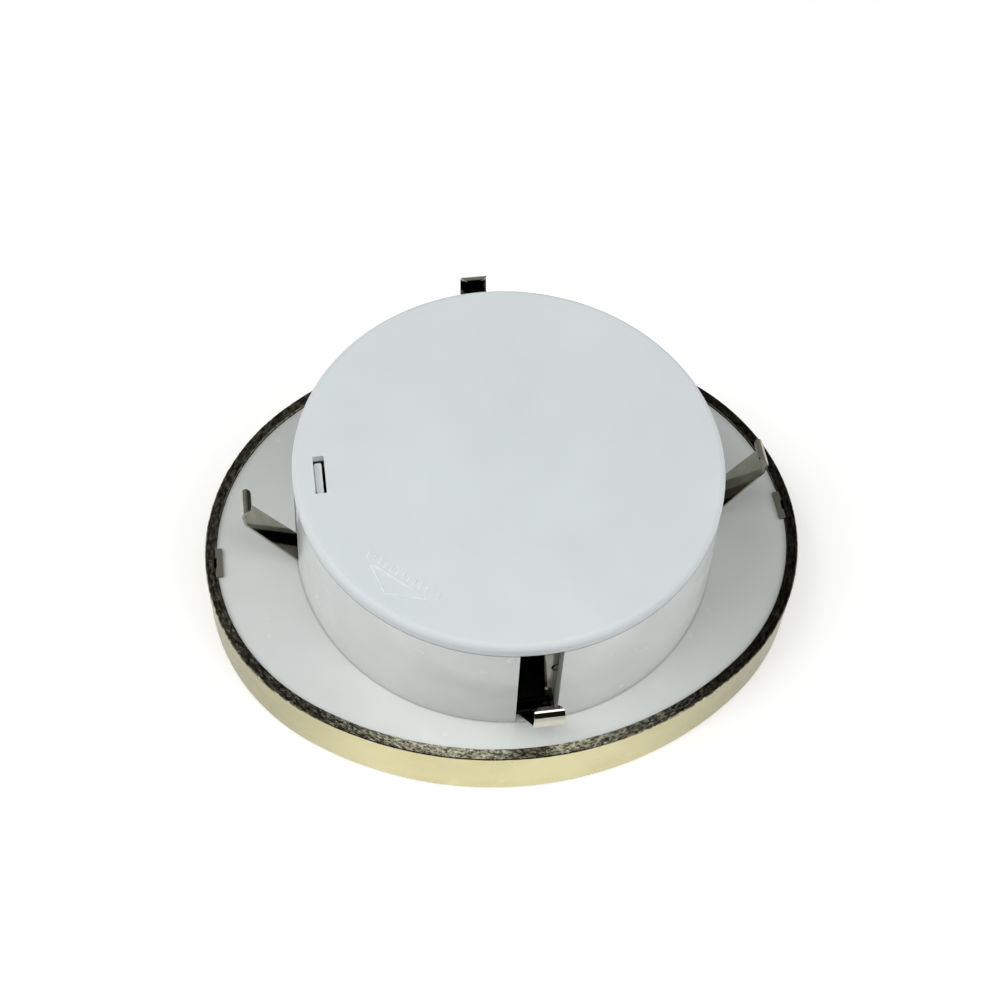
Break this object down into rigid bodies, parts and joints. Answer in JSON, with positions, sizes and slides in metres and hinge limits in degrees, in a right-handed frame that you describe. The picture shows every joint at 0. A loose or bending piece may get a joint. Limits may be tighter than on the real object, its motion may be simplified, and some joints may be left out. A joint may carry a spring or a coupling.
{
  "type": "clock insert",
  "caption": "Oval clock insert with bezel, glass, dial, hands, round cup housing, sprung side clips, removable back cover and a battery quartz movement.",
  "frame": {"origin": "on the plane that the bezel's front lip rests on, on the axis of the hands", "axes": "+Z from the front lip to the back cover, +X along the long side of the oval, towards the side away from the latch slot"},
  "size_m": [0.1508, 0.1272, 0.0504],
  "materials": {
    "bezel_gold": "satin champagne gold lacquer, back rim ground bare",
    "glass": "clear",
    "ring_gold": "satin",
    "dial_white": "matt lacquer",
    "housing_white": "glossy moulded",
    "cover_white": "semi-gloss moulded",
    "spring_steel": "nickel plated",
    "black_plastic": "moulded",
    "brass": "turned",
    "rubber": "matt",
    "hand_black": "satin",
    "wheel_plastic": "moulded",
    "magnet": "sintered",
    "soft_iron": "stamped",
    "bobbin_plastic": "moulded",
    "copper": "enamelled wire",
    "board_green": "lacquered",
    "can_steel": "drawn can",
    "cell_red": "printed sleeve",
    "knob_white": "moulded"
  },
  "bodies": {
    "insert": {"bezel": "bezel_gold", "lens": "glass", "reflector_ring": "ring_gold", "dial": "dial_white", "housing": "housing_white", "clip_legs": "spring_steel", "movement_case": "black_plastic", "movement_cover": "black_plastic", "centre_bush": "brass", "hex_nut": "brass", "brass_washer": "brass", "rubber_washer": "rubber", "stator": "soft_iron", "coil_bobbin": "bobbin_plastic", "coil_winding": "copper", "circuit_board": "board_green", "quartz_crystal": "can_steel", "positive_contact": "spring_steel", "negative_contact": "spring_steel"},
    "cover": {"back_cover": "cover_white"},
    "cell": {"battery": "cell_red"},
    "clip_right": {"clip_spring_right": "spring_steel"},
    "clip_rear": {"clip_spring_rear": "spring_steel"},
    "clip_left": {"clip_spring_left": "spring_steel"},
    "clip_front": {"clip_spring_front": "spring_steel"},
    "seconds": {"second_wheel": "wheel_plastic", "second_hand": "hand_black"},
    "intermediate": {"intermediate_wheel": "wheel_plastic"},
    "rotor": {"rotor": "magnet"},
    "third": {"third_wheel": "wheel_plastic"},
    "centre_drive": {"centre_wheel": "wheel_plastic"},
    "minutes": {"cannon_pinion": "brass", "minute_hand": "hand_black"},
    "minute_wheel": {"minute_wheel": "wheel_plastic"},
    "hours": {"hour_wheel": "wheel_plastic", "hour_hand": "hand_black"},
    "knob": {"setting_knob": "knob_white"}
  },
  "joints": [
    {"name": "cover_lift", "type": "slide", "parent": "insert", "child": "cover", "axis": [0, 0, 1], "range_m": [0, 0.03]},
    {"name": "battery_lift", "type": "slide", "parent": "insert", "child": "cell", "axis": [0, 0, 1], "range_m": [0, 0.0155]},
    {"name": "clip_right_flex", "type": "hinge", "parent": "insert", "child": "clip_right", "pos_m": [0.0503, 0, 0.0156], "axis": [0, -1, 0], "range_deg": [0, 27], "stiffness_Nm_per_rad": 0.5},
    {"name": "clip_rear_flex", "type": "hinge", "parent": "insert", "child": "clip_rear", "pos_m": [0, 0.0503, 0.0156], "axis": [1, 0, 0], "range_deg": [0, 27], "stiffness_Nm_per_rad": 0.5},
    {"name": "clip_left_flex", "type": "hinge", "parent": "insert", "child": "clip_left", "pos_m": [-0.0503, 0, 0.0156], "axis": [0, 1, 0], "range_deg": [0, 27], "stiffness_Nm_per_rad": 0.5},
    {"name": "clip_front_flex", "type": "hinge", "parent": "insert", "child": "clip_front", "pos_m": [0, -0.0503, 0.0156], "axis": [-1, 0, 0], "range_deg": [0, 27], "stiffness_Nm_per_rad": 0.5},
    {"name": "second_turn", "type": "hinge", "parent": "insert", "child": "seconds", "pos_m": [0, 0, 0.025], "axis": [0, 0, 1], "continuous": true},
    {"name": "intermediate_turn", "type": "hinge", "parent": "insert", "child": "intermediate", "pos_m": [0.0051, 0.00883, 0.025], "axis": [0, 0, 1], "continuous": true},
    {"name": "rotor_turn", "type": "hinge", "parent": "insert", "child": "rotor", "pos_m": [0.01187, 0.0113, 0.025], "axis": [0, 0, 1], "continuous": true},
    {"name": "third_turn", "type": "hinge", "parent": "insert", "child": "third", "pos_m": [-0.00883, 0.0051, 0.025], "axis": [0, 0, 1], "continuous": true},
    {"name": "centre_wheel_turn", "type": "hinge", "parent": "insert", "child": "centre_drive", "pos_m": [0, 0, 0.0225], "axis": [0, 0, 1], "continuous": true},
    {"name": "minute_turn", "type": "hinge", "parent": "insert", "child": "minutes", "pos_m": [0, 0, 0.02], "axis": [0, 0, 1], "continuous": true},
    {"name": "minute_wheel_turn", "type": "hinge", "parent": "insert", "child": "minute_wheel", "pos_m": [0.0096, 0, 0.02], "axis": [0, 0, 1], "continuous": true},
    {"name": "hour_turn", "type": "hinge", "parent": "insert", "child": "hours", "pos_m": [0, 0, 0.018], "axis": [0, 0, 1], "continuous": true},
    {"name": "knob_turn", "type": "hinge", "parent": "insert", "child": "knob", "pos_m": [0.0183, -0.00406, 0.02], "axis": [0, 0, 1], "continuous": true}
  ],
  "couplings": [
    {"joint": "intermediate_turn", "follows": "second_turn", "ratio": -6},
    {"joint": "rotor_turn", "follows": "second_turn", "ratio": 30},
    {"joint": "third_turn", "follows": "second_turn", "ratio": -0.13333},
    {"joint": "centre_wheel_turn", "follows": "second_turn", "ratio": 0.016667},
    {"joint": "minute_wheel_turn", "follows": "minute_turn", "ratio": -0.33333},
    {"joint": "hour_turn", "follows": "minute_turn", "ratio": 0.083333},
    {"joint": "knob_turn", "follows": "minute_turn", "ratio": 1}
  ]
}
